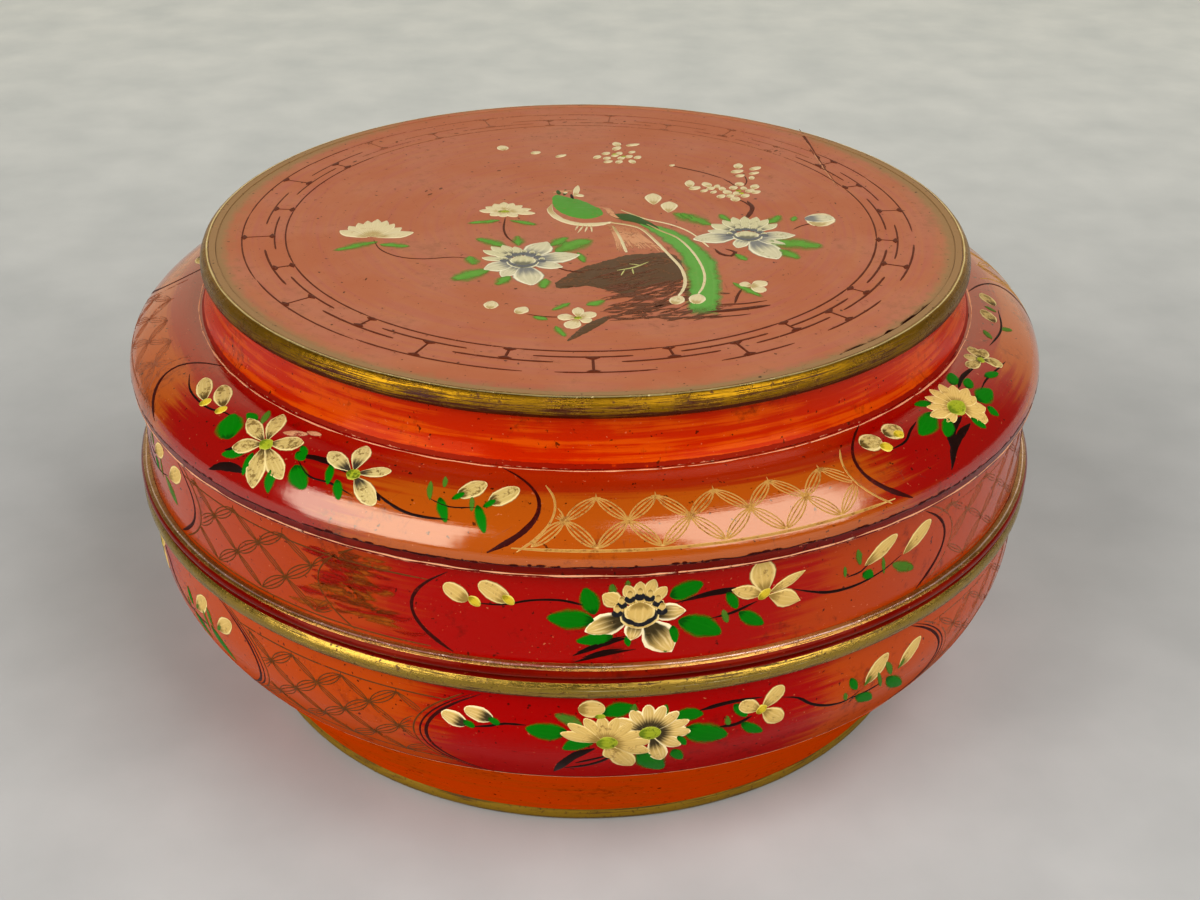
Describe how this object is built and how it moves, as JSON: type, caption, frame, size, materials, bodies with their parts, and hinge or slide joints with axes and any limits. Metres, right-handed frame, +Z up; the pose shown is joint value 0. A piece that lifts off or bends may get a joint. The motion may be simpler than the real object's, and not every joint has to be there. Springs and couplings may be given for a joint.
{
  "type": "lacquered wedding basket",
  "caption": "Round lacquered wooden wedding basket: a bowl on a low gilt foot with a lift-off stepped lid, its lacquer painted with flowers, lattice and a long-tailed bird.",
  "frame": {"origin": "centre of the foot ring's underside", "axes": "+Z up through the lid, -Y towards the side that the picture shows"},
  "size_m": [0.383, 0.383, 0.1936],
  "materials": {
    "red_lacquer": "glossy aged red lacquer",
    "orange_lacquer": "glossy worn orange-red lacquer",
    "top_lacquer": "satin dusty brick-red lacquer",
    "inside_lacquer": "satin dark red-brown lacquer",
    "gilding": "worn gilding over dark lacquer",
    "bamboo": "bare split bamboo"
  },
  "bodies": {
    "base": {"foot_ring": "gilding", "bowl_stave_1": "red_lacquer", "bowl_stave_2": "red_lacquer", "bowl_stave_3": "red_lacquer", "bowl_stave_4": "red_lacquer", "bowl_stave_5": "red_lacquer", "bowl_stave_6": "red_lacquer", "bowl_stave_7": "red_lacquer", "bowl_stave_8": "red_lacquer", "bowl_stave_9": "red_lacquer", "bowl_stave_10": "red_lacquer", "bowl_stave_11": "red_lacquer", "bowl_stave_12": "red_lacquer", "floor_board_1": "inside_lacquer", "floor_board_2": "inside_lacquer", "floor_board_3": "inside_lacquer", "floor_board_4": "inside_lacquer", "floor_pin_1": "bamboo", "floor_pin_2": "bamboo", "floor_pin_3": "bamboo", "floor_pin_4": "bamboo", "floor_pin_5": "bamboo", "floor_pin_6": "bamboo", "locating_lip": "inside_lacquer", "base_bead": "gilding"},
    "lid": {"lid_bead": "gilding", "lid_side_strip_1": "red_lacquer", "lid_side_strip_2": "red_lacquer", "lid_side_strip_3": "red_lacquer", "lid_side_strip_4": "red_lacquer", "shoulder_segment_1": "red_lacquer", "shoulder_segment_2": "red_lacquer", "shoulder_segment_3": "red_lacquer", "shoulder_segment_4": "red_lacquer", "shoulder_segment_5": "red_lacquer", "shoulder_segment_6": "red_lacquer", "shoulder_segment_7": "red_lacquer", "shoulder_segment_8": "red_lacquer", "shoulder_segment_9": "red_lacquer", "shoulder_segment_10": "red_lacquer", "neck_band": "orange_lacquer", "top_rim_hoop": "gilding", "top_board_1": "top_lacquer", "top_board_2": "top_lacquer", "top_board_3": "top_lacquer", "top_board_4": "top_lacquer", "top_pin_1": "bamboo", "top_pin_2": "bamboo", "top_pin_3": "bamboo", "top_pin_4": "bamboo", "top_pin_5": "bamboo", "top_pin_6": "bamboo"}
  },
  "joints": [
    {"name": "lid_lift", "type": "slide", "parent": "base", "child": "lid", "axis": [0, 0, 1], "range_m": [0, 0.12]}
  ]
}
